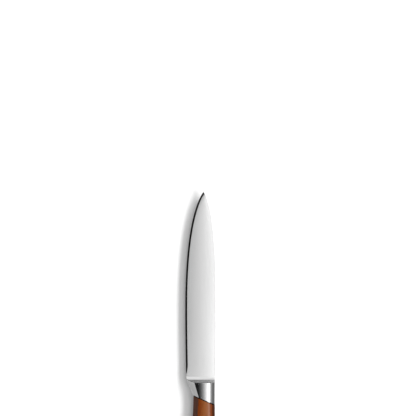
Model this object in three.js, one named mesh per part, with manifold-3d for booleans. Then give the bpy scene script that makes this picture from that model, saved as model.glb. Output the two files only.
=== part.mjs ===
// A kitchen utility knife: one forging (blade, bolster and full tang), two wooden
// handle scales and three two-piece rivets that hold the scales on the tang.
//
// Millimetres, +Z up. The knife lies on its right flank, with +Y to the tip and +X to the spine.
// It is drawn with y = 0 at the heel, x = 0 on the spine line of the bolster and
// z = 0 on the middle plane of the blade, and is then set down on z = 0.
import * as THREE from 'three';
import { mergeVertices } from 'three/addons/utils/BufferGeometryUtils.js';
import Module from 'manifold-3d';

const { degToRad, lerp, smoothstep } = THREE.MathUtils;
const wasm = await Module();
wasm.setup();

// Blade outline
const BLADE_LENGTH = 130.3; // heel to tip
const BLADE_HEIGHT = 20.85; // edge to spine where the blade is deepest
const SPINE_RISE = 0.35; // blade spine above the spine line of the bolster
const HEEL_RELIEF = 0.65; // how much less the edge stands out at the heel
const TIP_DROP = 8.1; // blade spine down to the tip
const TIP_WIDTH = 0.4; // the point is blunted to this width
const BELLY_LENGTH = 80.3; // the edge curves up to the tip over this length
const BELLY_PULL = 50; // how far the belly still runs straight on
const TIP_EDGE_ANGLE = 37; // between the edge at the tip and the blade's length
const TIP_EDGE_PULL = 10; // how far the belly already follows the edge at the tip
const SPINE_FALL_LENGTH = 92.3; // the spine falls to the tip over this length
const SPINE_FALL_PULL = 32; // how far the fall still follows the straight spine
const TIP_SPINE_ANGLE = 27.3; // between the spine at the tip and the blade's length
const TIP_SPINE_PULL = 17.9; // how far the fall already follows the spine at the tip

// Blade section
const SPINE_THICKNESS = 2.1;
const SHOULDER_THICKNESS = 0.76; // where the ground face meets the edge bevel
const TIP_SPINE_THICKNESS = 0.85;
const TIP_SHOULDER_THICKNESS = 0.7;
const EDGE_THICKNESS = 0.1;
const BEVEL_WIDTH = 1.35; // sharpened strip along the edge
const HEEL_BEVEL_WIDTH = 0.7; // what is left of it at the heel
const HEEL_BEVEL_FALL = 0.045; // how much each face still falls across that
const TIP_BEVEL_SHARE = 0.85; // most of the blade's height that the strip takes up at the tip
const HEEL_PLAIN = 3.7; // length at the heel that isn't sharpened
const BEVEL_RUN_IN = 3.3; // length over which the strip gets its full slope
const BEVEL_WIDENS = 6.6; // length over which it gets its full width

// Bolster
const FILLET_RADIUS = 5; // sweep from the blade's face up to the bolster
const FILLET_AHEAD = 2.6; // the sweep starts this far ahead of the heel
const HEEL_HALF = 1.05; // half thickness of the bolster's finger side at the heel
const FRONT_FACET_WIDTH = 5.7; // finger facet at the front of the bolster
const FRONT_FLANK_WIDTH = 6; // soft curve between that facet and the flat land
const FRONT_FLANK_DROP = 1.45;
const JOINT_FACET_WIDTH = 3.55; // finger facet where steel meets wood
const NECK_HEIGHT = 14.85; // finger side to spine side where steel meets wood
const JOINT_AT_FINGER = 10.9; // steel meets wood this far behind the heel
const JOINT_AT_SPINE = 17.15;

// Handle
const HANDLE_LENGTH = 118; // heel to butt
const HANDLE_THICKNESS = 12;
const FACET_SLOPE = 0.82; // fall of the finger facet per width
const GRIP_FACET_WIDTH = 3.2;
const FACET_SETTLES = 12; // the facet reaches that width this far behind the joint
const FLANK_WIDTH = 3.6; // soft curve between the facet and the flat land
const FLANK_DROP = 0.65;
const SPINE_ROUND = 4.3; // width of the round along the spine side
const SPINE_LIP = 2.3; // thickness of wood beside the tang on the spine side
const GRIP_HEIGHT = 17; // spine line to the fullest part of the grip
const GRIP_AT = 60; // behind the heel
const WAIST_HEIGHT = 16.4; // spine line to the waist between grip and butt
const HOOK_HEIGHT = 19.6; // spine line to the hook at the butt
const HOOK_BEFORE_BUTT = 6;
const BACK_SWELL = 0.25; // rise of the back over the fullest part of the grip
const BACK_WAIST_FALL = 0.5; // fall of the back at the waist
const BACK_BUTT_FALL = 3.2; // fall of the back at the butt
const HOOK_LEAN = 0.22; // sideways run of the outline per length
const BACK_WAIST_LEAN = 0.05;
const BACK_BUTT_LEAN = 0.14;
const BUTT_FLAT = 9; // straight part of the butt end
const BUTT_THINNING = 0.35; // share of the scale's thickness lost at the butt

// Tang and rivets
const TANG_THICKNESS = 2.2;
const TANG_INSET = 0.1; // the tang's edges lie this far inside the wood
const GLUE_LINE = 0.05;
const JOINT_GAP = 0.35; // seam between bolster and wood
const STUD_DIAMETER = 2.6;
const SLEEVE_WALL = 0.65;
const RIVET_HEAD_RIM = 1; // how far a rivet's head stands out past its sleeve
const RIVET_HEAD_THICKNESS = 1.2;
const RIVET_HEAD_SINK = 0.03; // the heads lie just below the wood
const RIVET_FIT = 0.05; // clearance round and under every rivet face
const RIVET_END_GAP = 0.3; // between a rivet's end and the opposite head
const FRONT_RIVET_BEHIND_JOINT = 14;
const REAR_RIVET_BEFORE_BUTT = 16;

// Fineness of the curved stretches
const HEEL_STATIONS = 6;
const FLAT_STATIONS = 4;
const BELLY_STATIONS = 22;
const FILLET_STATIONS = 6;
const HANDLE_STATIONS = [9, 7, 7, 6]; // per stretch of the handle outline
const FACET_SHARES = [0, 0.06, 0.5, 1]; // columns across the finger facet
const FLANK_SHARES = [0.3, 0.65, 1]; // columns across the curve beside it
const ROUND_COLUMNS = 5; // columns across the round of the spine side
const RIVET_SIDES = 24;
const LEAST_LAND = 0.05; // share of the handle's height that stays flat where it is narrow
const BISECTIONS = 50;
const CREASE_ROUNDS = 12;

const halfThickness = HANDLE_THICKNESS / 2;
const halfTang = TANG_THICKNESS / 2;
const scaleInside = halfTang + GLUE_LINE;
const spineDrop = halfThickness - scaleInside - SPINE_LIP;
const edgeX = SPINE_RISE - BLADE_HEIGHT;
const heelX = edgeX + HEEL_RELIEF;
const bellyStart = BLADE_LENGTH - BELLY_LENGTH;
const straightSpineEnd = BLADE_LENGTH - SPINE_FALL_LENGTH;
const flatGrindEnd = bellyStart;
const sleeveBore = STUD_DIAMETER + 2 * RIVET_FIT;
const sleeveDiameter = sleeveBore + 2 * SLEEVE_WALL;
const headDiameter = sleeveDiameter + 2 * RIVET_HEAD_RIM;

const steel = { color: 0xc4c6c8, metalness: 1, roughness: 0.25 };
const wood = { color: 0x8c4a20, metalness: 0, roughness: 0.45 };
const rivetSteel = { color: 0xb9bbbd, metalness: 1, roughness: 0.35 };

const vec2 = (x, y) => new THREE.Vector2(x, y);
const vec3 = (x, y, z) => new THREE.Vector3(x, y, z);
const shareOf = (from, to, value) => (value - from) / (to - from);

// A cubic curve with its four control points given as [x, y].
function bezier(...points) {
  return new THREE.CubicBezierCurve(...points.map(([x, y]) => vec2(x, y)));
}

// The x of the first curve that passes the given y. Every curve runs one way in y.
function xAtY(curves, y) {
  const passes = (curve) => (curve.getPoint(0).y - y) * (curve.getPoint(1).y - y) <= 0;
  const curve = curves.find(passes);
  const rising = curve.getPoint(1).y > curve.getPoint(0).y;
  let low = 0;
  let high = 1;
  for (let step = 0; step < BISECTIONS; step += 1) {
    const middle = (low + high) / 2;
    if (curve.getPoint(middle).y < y === rising) low = middle;
    else high = middle;
  }
  return curve.getPoint(low).x;
}

// A closed solid between two grids of points. Rows run from the tip to the butt,
// columns from the finger side to the spine side.
function sandwich(top, bottom) {
  const columns = top[0].length;
  const last = columns - 1;
  const under = top.length * columns;
  const faces = [];
  const quad = (a, b, c, d) => faces.push(a, b, c, a, c, d);
  for (let row = 0; row + 1 < top.length; row += 1) {
    const here = row * columns;
    const next = here + columns;
    for (let c = 0; c < last; c += 1) {
      quad(here + c, next + c, next + c + 1, here + c + 1);
      quad(under + here + c, under + here + c + 1, under + next + c + 1, under + next + c);
    }
    quad(here, under + here, under + next, next);
    quad(here + last, next + last, under + next + last, under + here + last);
  }
  const end = under - columns;
  for (let c = 0; c < last; c += 1) {
    quad(c, c + 1, under + c + 1, under + c);
    quad(end + c, under + end + c, under + end + c + 1, end + c + 1);
  }
  const geometry = new THREE.BufferGeometry();
  geometry.setFromPoints([...top.flat(), ...bottom.flat()]);
  geometry.setIndex(faces);
  return geometry;
}

const mirrored = (rows) => rows.map((row) => row.map(({ x, y, z }) => vec3(x, y, -z)));

function toManifold(geometry) {
  const bare = new THREE.BufferGeometry();
  bare.setAttribute('position', geometry.getAttribute('position'));
  bare.setIndex(geometry.getIndex());
  const merged = mergeVertices(bare);
  return new wasm.Manifold(new wasm.Mesh({
    numProp: 3,
    vertProperties: merged.getAttribute('position').array,
    triVerts: Uint32Array.from(merged.getIndex().array),
  }));
}

function cutAway(geometry, tools) {
  let body = toManifold(geometry);
  for (const tool of tools) body = body.subtract(toManifold(tool));
  const mesh = body.getMesh();
  const result = new THREE.BufferGeometry();
  result.setAttribute('position', new THREE.BufferAttribute(mesh.vertProperties, 3));
  result.setIndex(new THREE.BufferAttribute(mesh.triVerts, 1));
  return result;
}

// A round bar along z between two heights.
function bar({ x, y }, diameter, low, high) {
  const geometry = new THREE.CylinderGeometry(diameter / 2, diameter / 2, high - low, RIVET_SIDES);
  geometry.rotateX(Math.PI / 2);
  geometry.translate(x, y, (low + high) / 2);
  return geometry;
}

// Blade

const tip = vec2(SPINE_RISE - TIP_DROP, BLADE_LENGTH);
const tipEdgeAngle = degToRad(TIP_EDGE_ANGLE);
const tipSpineAngle = degToRad(TIP_SPINE_ANGLE);

const bellyCurve = bezier(
  [edgeX, bellyStart],
  [edgeX, bellyStart + BELLY_PULL],
  [tip.x - TIP_EDGE_PULL * Math.sin(tipEdgeAngle), tip.y - TIP_EDGE_PULL * Math.cos(tipEdgeAngle)],
  [tip.x, tip.y],
);

const spineCurve = bezier(
  [SPINE_RISE, straightSpineEnd],
  [SPINE_RISE, straightSpineEnd + SPINE_FALL_PULL],
  [tip.x + TIP_SPINE_PULL * Math.sin(tipSpineAngle), tip.y - TIP_SPINE_PULL * Math.cos(tipSpineAngle)],
  [tip.x, tip.y],
);

// The edge bows out slightly between the heel and the belly.
function edgeAt(y) {
  if (y < bellyStart) return lerp(edgeX, heelX, (1 - y / bellyStart) ** 2);
  return xAtY([bellyCurve], y);
}

function spineAt(y) {
  if (y < straightSpineEnd) return lerp(0, SPINE_RISE, y / straightSpineEnd);
  return xAtY([spineCurve], y);
}

// Edge, bevel shoulder and spine of the blade at one y, as x values.
function bladeAcross(y) {
  const middle = (edgeAt(y) + spineAt(y)) / 2;
  const half = Math.max(spineAt(y) - edgeAt(y), TIP_WIDTH) / 2;
  const slope = (edgeAt(y) - edgeAt(y - BEVEL_WIDTH)) / BEVEL_WIDTH;
  const sharpened = smoothstep(y, HEEL_PLAIN, HEEL_PLAIN + BEVEL_RUN_IN);
  const widened = smoothstep(y, HEEL_PLAIN, HEEL_PLAIN + BEVEL_WIDENS);
  const bevel = lerp(HEEL_BEVEL_WIDTH, BEVEL_WIDTH * Math.hypot(1, slope), widened);
  const edge = middle - half;
  const shoulder = edge + Math.min(bevel, 2 * half * TIP_BEVEL_SHARE);
  return { edge, shoulder, spine: middle + half, sharpened };
}

const flatGrind = bladeAcross(flatGrindEnd);

// Half thickness of the ground face: one plane over the heel half, thinner towards the tip.
function faceHeight(x, y) {
  const across = y < flatGrindEnd ? flatGrind : bladeAcross(y);
  const taper = Math.max(0, shareOf(flatGrindEnd, BLADE_LENGTH, y));
  const shoulderHalf = lerp(SHOULDER_THICKNESS, TIP_SHOULDER_THICKNESS, taper) / 2;
  const spineHalf = lerp(SPINE_THICKNESS, TIP_SPINE_THICKNESS, taper ** 2) / 2;
  return lerp(shoulderHalf, spineHalf, shareOf(across.shoulder, across.spine, x));
}

function bladeRow(y, columnShares) {
  const { edge, shoulder, spine, sharpened } = bladeAcross(y);
  const edgeHalf = lerp(faceHeight(edge, y) - HEEL_BEVEL_FALL, EDGE_THICKNESS / 2, sharpened);
  const face = columnShares.map((share) => {
    const x = lerp(shoulder, spine, share);
    return vec3(x, y, faceHeight(x, y));
  });
  return [vec3(edge, y, edgeHalf), ...face];
}

// Stations from the tip to the heel, closer together where the outline curves.
function bladeStations() {
  const steps = (count, place) => Array.from({ length: count }, (_, k) => place((k + 1) / count));
  const runInEnd = HEEL_PLAIN + BEVEL_WIDENS;
  return [
    FILLET_AHEAD,
    ...steps(HEEL_STATIONS, (share) => lerp(FILLET_AHEAD, runInEnd, share)),
    ...steps(FLAT_STATIONS, (share) => lerp(runInEnd, flatGrindEnd, share)),
    ...steps(BELLY_STATIONS, (share) => lerp(flatGrindEnd, BLADE_LENGTH, Math.sin(share * Math.PI / 2))),
  ].reverse();
}

// Handle section, shared by the bolster and the scales

// Points [x, z] from the finger side over the facet, the flank, the flat land and the spine round.
function handleSection(fingerX, spineX, facetWidth, flankWidth = FLANK_WIDTH, flankDrop = FLANK_DROP) {
  const needed = facetWidth + flankWidth + SPINE_ROUND;
  const fit = Math.min(1, (1 - LEAST_LAND) * (spineX - fingerX) / needed);
  const facetX = fingerX + facetWidth * fit;
  const landX = facetX + flankWidth * fit;
  const roundX = spineX - SPINE_ROUND * fit;
  const facetZ = halfThickness - flankDrop;
  const facet = FACET_SHARES.map((share) => [
    lerp(fingerX, facetX, share),
    facetZ - FACET_SLOPE * facetWidth * (1 - share),
  ]);
  const flank = FLANK_SHARES.map((share) => [
    lerp(facetX, landX, share),
    halfThickness - flankDrop * (1 - share) ** 2,
  ]);
  const round = Array.from({ length: ROUND_COLUMNS }, (_, k) => {
    const angle = (k + 1) / ROUND_COLUMNS * Math.PI / 2;
    return [
      roundX + SPINE_ROUND * fit * Math.sin(angle),
      halfThickness - spineDrop * (1 - Math.cos(angle)),
    ];
  });
  return [...facet, ...flank, [roundX, halfThickness], ...round];
}

// Bolster

const jointY = (x) => lerp(-JOINT_AT_FINGER, -JOINT_AT_SPINE, shareOf(-NECK_HEIGHT, 0, x));
const jointSection = handleSection(-NECK_HEIGHT, 0, JOINT_FACET_WIDTH);
const jointRow = jointSection.map(([x, z]) => vec3(x, jointY(x), z));
const frontSection = handleSection(heelX, 0, FRONT_FACET_WIDTH, FRONT_FLANK_WIDTH, FRONT_FLANK_DROP);
const facetTop = FACET_SHARES.length - 1;

// Where the fillet, rising from the blade's face, reaches a surface of the bolster.
function creasePoint(x, base, surface) {
  let y = 0;
  for (let step = 0; step < CREASE_ROUNDS; step += 1) {
    const rise = Math.min(surface(x, y) - base, FILLET_RADIUS);
    y = FILLET_AHEAD - Math.sqrt(FILLET_RADIUS ** 2 - (FILLET_RADIUS - rise) ** 2);
  }
  return vec3(x, y, surface(x, y));
}

// The finger facet of the bolster, slightly twisted between its upper edge and the finger side.
function facetSurface(frontBase) {
  const [topX, topZ] = frontSection[facetTop];
  const front = creasePoint(topX, frontBase, () => topZ);
  const jointTop = jointRow[facetTop];
  const jointWall = jointRow[0];
  return (x, y) => {
    const wallShare = shareOf(0, jointWall.y, y);
    const topShare = shareOf(front.y, jointTop.y, y);
    const across = shareOf(lerp(heelX, jointWall.x, wallShare), lerp(front.x, jointTop.x, topShare), x);
    return lerp(lerp(HEEL_HALF, jointWall.z, wallShare), lerp(front.z, jointTop.z, topShare), across);
  };
}

function creaseRow(baseRow) {
  const facet = facetSurface(baseRow[facetTop].z);
  return frontSection.map(([x, z], column) => {
    const surface = column < facetTop ? facet : () => z;
    return creasePoint(x, baseRow[column].z, surface);
  });
}

// One row of the fillet, at a share of its sweep from the blade's face to the crease.
function filletRow(baseRow, crease, share) {
  return baseRow.map((base, column) => {
    const reach = FILLET_AHEAD - crease[column].y;
    const angle = share * Math.asin(Math.min(1, reach / FILLET_RADIUS));
    const along = FILLET_RADIUS * Math.sin(angle);
    const x = lerp(base.x, crease[column].x, along / reach);
    return vec3(x, FILLET_AHEAD - along, base.z + FILLET_RADIUS * (1 - Math.cos(angle)));
  });
}

// Handle outline, from the joint to the butt

const buttY = -HANDLE_LENGTH;
const hookY = buttY + HOOK_BEFORE_BUTT;
const waistY = (hookY - GRIP_AT) / 2;
const buttMiddle = -(HOOK_HEIGHT + BACK_BUTT_FALL) / 2;

// A curve between two points [x, y] with a given lean (x per y) at each.
function stretch([x0, y0], lean0, [x1, y1], lean1) {
  const run = (y1 - y0) / 3;
  return bezier([x0, y0], [x0 + lean0 * run, y0 + run], [x1 - lean1 * run, y1 - run], [x1, y1]);
}

// The rounded corner from a side of the handle to the butt end.
function buttCorner([x0, y0], lean, endX) {
  const corner = vec2(x0 + lean * (buttY - y0), buttY);
  return new THREE.QuadraticBezierCurve(vec2(x0, y0), corner, vec2(endX, buttY));
}

const neck = [-NECK_HEIGHT, -JOINT_AT_FINGER];
const grip = [-GRIP_HEIGHT, -GRIP_AT];
const waist = [-WAIST_HEIGHT, waistY];
const hook = [-HOOK_HEIGHT, hookY];
const fingerCurves = [
  stretch(neck, 0, grip, 0),
  stretch(grip, 0, waist, 0),
  stretch(waist, 0, hook, HOOK_LEAN),
  buttCorner(hook, HOOK_LEAN, buttMiddle - BUTT_FLAT / 2),
];

const backFront = [0, -JOINT_AT_SPINE];
const backGrip = [BACK_SWELL, -GRIP_AT];
const backWaist = [-BACK_WAIST_FALL, waistY];
const backButt = [-BACK_BUTT_FALL, hookY];
const backCurves = [
  stretch(backFront, 0, backGrip, 0),
  stretch(backGrip, 0, backWaist, BACK_WAIST_LEAN),
  stretch(backWaist, BACK_WAIST_LEAN, backButt, BACK_BUTT_LEAN),
  buttCorner(backButt, BACK_BUTT_LEAN, buttMiddle + BUTT_FLAT / 2),
];

// Matching points of both sides. cornerShare runs from 0 to 1 round the butt's corners.
function handleStations() {
  const cornerPart = fingerCurves.length - 1;
  return fingerCurves.flatMap((curve, part) => {
    const count = HANDLE_STATIONS[part];
    const first = part === 0 ? 0 : 1;
    return Array.from({ length: count + 1 - first }, (_, k) => {
      const share = (k + first) / count;
      return {
        finger: curve.getPoint(share),
        back: backCurves[part].getPoint(share),
        cornerShare: part === cornerPart ? share : 0,
      };
    });
  });
}

const stations = handleStations();

// Tang

function tangRow({ finger, back }) {
  const fingerX = finger.x + TANG_INSET;
  const backX = back.x - TANG_INSET;
  return jointSection.map(([x]) => {
    const share = shareOf(-NECK_HEIGHT, 0, x);
    return vec3(lerp(fingerX, backX, share), lerp(finger.y, back.y, share), halfTang);
  });
}

// Scales

function facetWidthAt(y) {
  const behindJoint = -y - JOINT_AT_FINGER;
  return lerp(JOINT_FACET_WIDTH, GRIP_FACET_WIDTH, smoothstep(behindJoint, 0, FACET_SETTLES));
}

function scaleRow({ finger, back, cornerShare }, index) {
  const gap = index === 0 ? JOINT_GAP : 0;
  const thinning = BUTT_THINNING * (1 - Math.sqrt(1 - cornerShare ** 2));
  return handleSection(finger.x, back.x, facetWidthAt(finger.y)).map(([x, z]) => {
    const y = lerp(finger.y, back.y, shareOf(finger.x, back.x, x)) - gap;
    return vec3(x, y, lerp(z, scaleInside, thinning));
  });
}

// Rivets

// The middle of the flat land of the handle at one y.
function landMiddle(y) {
  const landX = xAtY(fingerCurves, y) + facetWidthAt(y) + FLANK_WIDTH;
  const roundX = xAtY(backCurves, y) - SPINE_ROUND;
  return (landX + roundX) / 2;
}

const frontRivetY = -JOINT_AT_SPINE - FRONT_RIVET_BEHIND_JOINT;
const rearRivetY = buttY + REAR_RIVET_BEFORE_BUTT;
const rivets = [
  { name: 'front', y: frontRivetY },
  { name: 'middle', y: (frontRivetY + rearRivetY) / 2 },
  { name: 'rear', y: rearRivetY },
].map(({ name, y }) => ({ name, center: vec2(landMiddle(y), y) }));

const headOuter = halfThickness - RIVET_HEAD_SINK;
const headInner = headOuter - RIVET_HEAD_THICKNESS;
const sleeveHole = sleeveDiameter + 2 * RIVET_FIT;
const headHole = headDiameter + 2 * RIVET_FIT;

function turned(profile, center) {
  const points = profile.map(([radius, z]) => vec2(radius, z));
  const geometry = new THREE.LatheGeometry(points, RIVET_SIDES);
  geometry.rotateX(Math.PI / 2);
  geometry.translate(center.x, center.y, 0);
  return geometry;
}

function rivetSleeve(center) {
  const head = headDiameter / 2;
  const outside = sleeveDiameter / 2;
  const bore = sleeveBore / 2;
  const end = -headInner + RIVET_END_GAP;
  return turned([
    [0, headInner], [bore, headInner], [bore, end], [outside, end],
    [outside, headInner], [head, headInner], [head, headOuter], [0, headOuter],
  ], center);
}

function rivetStud(center) {
  const head = headDiameter / 2;
  const shank = STUD_DIAMETER / 2;
  const end = headInner - RIVET_END_GAP;
  return turned([
    [0, -headOuter], [head, -headOuter], [head, -headInner],
    [shank, -headInner], [shank, end], [0, end],
  ], center);
}

// Solids

function forgedBlade() {
  const [, ...faceColumns] = frontSection.map(([x]) => x);
  const columnShares = faceColumns.map((x) => shareOf(faceColumns[0], faceColumns.at(-1), x));
  const bladeRows = bladeStations().map((y) => bladeRow(y, columnShares));
  const baseRow = bladeRows.at(-1);
  const crease = creaseRow(baseRow);
  const filletRows = Array.from({ length: FILLET_STATIONS - 1 }, (_, k) => (
    filletRow(baseRow, crease, (k + 1) / FILLET_STATIONS)
  ));
  const rows = [...bladeRows, ...filletRows, crease, jointRow, ...stations.map(tangRow)];
  const holes = rivets.map(({ center }) => bar(center, sleeveHole, -TANG_THICKNESS, TANG_THICKNESS));
  return cutAway(sandwich(rows, mirrored(rows)), holes);
}

// side is 1 for the left scale, which faces up, and -1 for the right one.
function scale(side) {
  const outside = stations.map(scaleRow);
  const inside = outside.map((row) => row.map(({ x, y }) => vec3(x, y, scaleInside)));
  const blank = side > 0 ? sandwich(outside, inside) : sandwich(mirrored(inside), mirrored(outside));
  const seat = headInner - RIVET_FIT;
  const headEnds = side > 0 ? [seat, HANDLE_THICKNESS] : [-HANDLE_THICKNESS, -seat];
  const holes = rivets.flatMap(({ center }) => [
    bar(center, sleeveHole, -HANDLE_THICKNESS, HANDLE_THICKNESS),
    bar(center, headHole, ...headEnds),
  ]);
  return cutAway(blank, holes);
}

function piece(name, geometry, look) {
  const mesh = new THREE.Mesh(geometry, new THREE.MeshStandardMaterial(look));
  mesh.name = name;
  return mesh;
}

const knife = new THREE.Group();
knife.add(piece('forged_blade', forgedBlade(), steel));
knife.add(piece('left_scale', scale(1), wood));
knife.add(piece('right_scale', scale(-1), wood));
for (const { name, center } of rivets) {
  knife.add(piece(`${name}_rivet_sleeve`, rivetSleeve(center), rivetSteel));
  knife.add(piece(`${name}_rivet_stud`, rivetStud(center), rivetSteel));
}

// The origin is the middle of the knife's outline, on the surface that it lies on.
const box = new THREE.Box3().setFromObject(knife);
const middle = box.getCenter(vec3(0, 0, 0));
knife.position.set(-middle.x, -middle.y, -box.min.z);

export default knife;
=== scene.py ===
"""Looks of the kitchen utility knife: forged steel, oiled wood and flush rivets on a white table.

Sizes are in millimetres, in the knife's own frame: x = 0 on the spine line of the bolster
(+x to the spine), y = 0 at the heel (+y to the tip) and z = 0 on the middle plane of the blade.
"""
import math

import bpy
import numpy as np
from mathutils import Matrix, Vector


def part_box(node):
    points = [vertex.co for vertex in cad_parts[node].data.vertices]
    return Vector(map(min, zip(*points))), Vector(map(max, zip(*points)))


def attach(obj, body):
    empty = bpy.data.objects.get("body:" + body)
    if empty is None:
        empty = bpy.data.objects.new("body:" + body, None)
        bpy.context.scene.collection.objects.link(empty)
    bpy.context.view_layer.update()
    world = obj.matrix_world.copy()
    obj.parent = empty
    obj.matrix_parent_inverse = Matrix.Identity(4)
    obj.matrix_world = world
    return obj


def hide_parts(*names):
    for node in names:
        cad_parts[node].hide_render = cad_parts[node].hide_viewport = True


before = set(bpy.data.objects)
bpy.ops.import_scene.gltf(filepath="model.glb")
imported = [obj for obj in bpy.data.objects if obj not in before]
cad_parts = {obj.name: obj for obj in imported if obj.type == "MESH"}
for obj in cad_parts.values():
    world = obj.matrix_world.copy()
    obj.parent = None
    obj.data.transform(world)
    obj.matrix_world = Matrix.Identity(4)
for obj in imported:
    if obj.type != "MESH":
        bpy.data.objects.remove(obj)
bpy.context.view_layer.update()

MM = 0.001

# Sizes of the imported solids
forging_low, forging_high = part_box("forged_blade")
left_low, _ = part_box("left_scale")
forging_size = (forging_high - forging_low) / MM

# Blade outline
BLADE_LENGTH = 130.3
BLADE_HEIGHT = forging_size.x
SPINE_RISE = 0.35  # from the bolster to the highest line of the spine
HEEL_RELIEF = 0.65  # how far the edge draws in towards the heel
TIP_DROP = 8.1  # from the highest line of the spine to the tip
TIP_WIDTH = 0.4
BELLY_LENGTH = 80.3  # curved stretch of the edge
BELLY_PULL = 50.0  # reach of its control point at the start
TIP_EDGE_PULL = 10.0  # and at the tip
TIP_EDGE_ANGLE = math.radians(37)
SPINE_FALL_LENGTH = 92.3  # curved stretch of the spine
SPINE_FALL_PULL = 32.0  # reach of its control point at the start
TIP_SPINE_PULL = 17.9  # and at the tip
TIP_SPINE_ANGLE = math.radians(27.3)

# Blade section
SPINE_THICKNESS = 2.1
SPINE_TAPER_POWER = 2.7  # the higher, the later the spine thins towards the tip
SHOULDER_THICKNESS = 0.76  # where the ground face meets the sharpened strip
TIP_SPINE_THICKNESS = 0.73
TIP_SHOULDER_THICKNESS = 0.7
EDGE_THICKNESS = 0.06
BEVEL_WIDTH = 1.35  # the sharpened strip
HEEL_BEVEL_WIDTH = 0.7  # what is left of it at the heel
HEEL_BEVEL_FALL = 0.045  # how much each face still falls across that
TIP_BEVEL_SHARE = 0.85  # most of the blade's height that the strip takes up at the tip
HEEL_PLAIN = 3.7  # length at the heel that isn't sharpened
BEVEL_RUN_IN = 3.3  # length over which the strip gets its full slope
BEVEL_WIDENS = 6.6  # length over which it gets its full width
FACE_BULGE = 0.15  # the ground face is slightly convex
HEEL_BULGE_SHARE = 0.6  # what is left of that at the heel
HEEL_BULGE_LENGTH = 45.0  # length over which it gets its full height
SPINE_ROLL = 0.085  # the face rolls over towards the spine, most at the heel
SPINE_ROLL_LENGTH = 55.0  # length over which that dies out
SPINE_ROLL_POWER = 4  # the higher, the closer to the spine
SPINE_CHAMFER = 0.18

# Bolster
FILLET_RADIUS = 4.9
FILLET_AHEAD = 2.65  # the fillet starts this far ahead of the heel
CREST_ROUND = 0.35  # where the fillet meets the bolster's faces
FRONT_FACET_X = -14.4  # line between finger facet and crown at the front
JOINT_FACET_WIDTH = 3.55  # the facet's width at the joint with the wood
NECK_HEIGHT = 14.85  # the handle's height at the joint
JOINT_AT_FINGER = 10.9  # how far behind the heel the joint lies
JOINT_AT_SPINE = 17.15
HEEL_HALF = 0.8  # half thickness of the bolster's finger side at the heel
CROWN_APEX = 5.5  # highest line of the flank, from the spine side
CROWN_RADIUS = 24.0
FRONT_CROWN_RADIUS = 26.0
FACET_BLEND = 0.12  # softness of the line between facet and crown
ARRIS_ROUND = 0.15  # round along the finger side

# Handle
HANDLE_LENGTH = forging_size.y - BLADE_LENGTH
HANDLE_THICKNESS = forging_size.z
FACET_SLOPE = 0.82  # fall of the finger facet per width
SPINE_ROUND = 4.3  # width of the round along the spine side
ROLL_RADIUS = 5.4  # that round starts as an arc
ROLL_ANGLE = math.radians(35.8)  # goes on straight at this slope
SPINE_CORNER = 0.25  # and ends in a small corner
GRIP_FACET_WIDTH = 3.2  # width of the finger facet behind the joint
FACET_SETTLES = 12.0  # length over which it gets that width
GRIP_HEIGHT = 17.0
GRIP_AT = 60.0  # behind the heel
WAIST_HEIGHT = 16.4
HOOK_HEIGHT = 19.6
HOOK_BEFORE_BUTT = 6.0
BACK_SWELL = 0.25  # the back's height at the grip, and how far it falls behind
BACK_WAIST_FALL = 0.5
BACK_BUTT_FALL = 3.2
HOOK_LEAN = 0.22  # slopes of the outline
BACK_WAIST_LEAN = 0.05
BACK_BUTT_LEAN = 0.14
BUTT_FLAT = 9.0  # straight end between the butt's corners
BUTT_THINNING = 0.35  # share of the wood's thickness lost round those corners
WOOD_FRONT_ROUND = 0.4
WOOD_BUTT_ROUND = 0.8
BUTT_WOOD = 0.3  # least thickness of the wood at the butt
FRONT_WOOD = 0.1  # and at its rounded front end
JOINT_GAP = 0.35  # seam between bolster and wood
TANG_INSET = 0.1
GLUE_LINE = 0.05

# Rivets
STUD_DIAMETER = 2.6
SLEEVE_BORE = 2.7
SLEEVE_DIAMETER = 4.0
RIVET_HEAD_THICKNESS = 1.2
RIVET_HEAD_CROWN = 0.05
RIVET_EDGE_ROUND = 0.12
RIVET_HOLE_CLEARANCE = 0.05
RIVET_END_GAP = 0.3
RIVET_SIDES = 72

# Photograph's frame, looking straight down
FRAME_SIDE = 288.7
FRAME_CENTER_X = -4.71
FRAME_CENTER_Y = 118.9
CAMERA_HEIGHT = 2500.0
SENSOR = 36.0
CLIP_END = 100.0  # metres

# Places that follow from these
half_thickness = HANDLE_THICKNESS / 2
edge_x = SPINE_RISE - BLADE_HEIGHT
heel_x = edge_x + HEEL_RELIEF
flat_grind_end = BLADE_LENGTH - BELLY_LENGTH
straight_spine_end = BLADE_LENGTH - SPINE_FALL_LENGTH
tip = (SPINE_RISE - TIP_DROP, BLADE_LENGTH)

origin = np.array([
    forging_high.x - SPINE_RISE * MM,
    forging_high.y - BLADE_LENGTH * MM,
    (forging_low.z + forging_high.z) / 2,
])
scale_inside = (left_low.z - origin[2]) / MM
half_tang = scale_inside - GLUE_LINE


def to_row(points):
    """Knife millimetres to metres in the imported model's frame."""
    return np.asarray(points, float) * MM + origin


def lerp(a, b, share):
    """The value at a share of the way from a to b."""
    return a + (b - a) * share


def smooth(low, high, value):
    """0 up to low, 1 from high on, and a smooth step between them."""
    t = np.clip((value - low) / (high - low), 0, 1)
    return t * t * (3 - 2 * t)


def smooth_min(a, b, softness):
    """The lower of two surfaces, with the line between them rounded."""
    return -softness * np.logaddexp(-a / softness, -b / softness)


def bezier(points, share):
    """Points of a curve of any degree at the given shares."""
    level = [np.array(p, float)[None, :] for p in points]
    t = np.atleast_1d(share)[:, None]
    while len(level) > 1:
        level = [lerp(a, b, t) for a, b in zip(level, level[1:])]
    return level[0]


CURVE_SHARES = np.linspace(0, 1, 4001)  # fine enough to look up x by y


def curve_x(points, y):
    """The curve's x where it passes the given y."""
    line = bezier(points, CURVE_SHARES)
    return np.interp(y, line[:, 1], line[:, 0])


# Meshes

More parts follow.
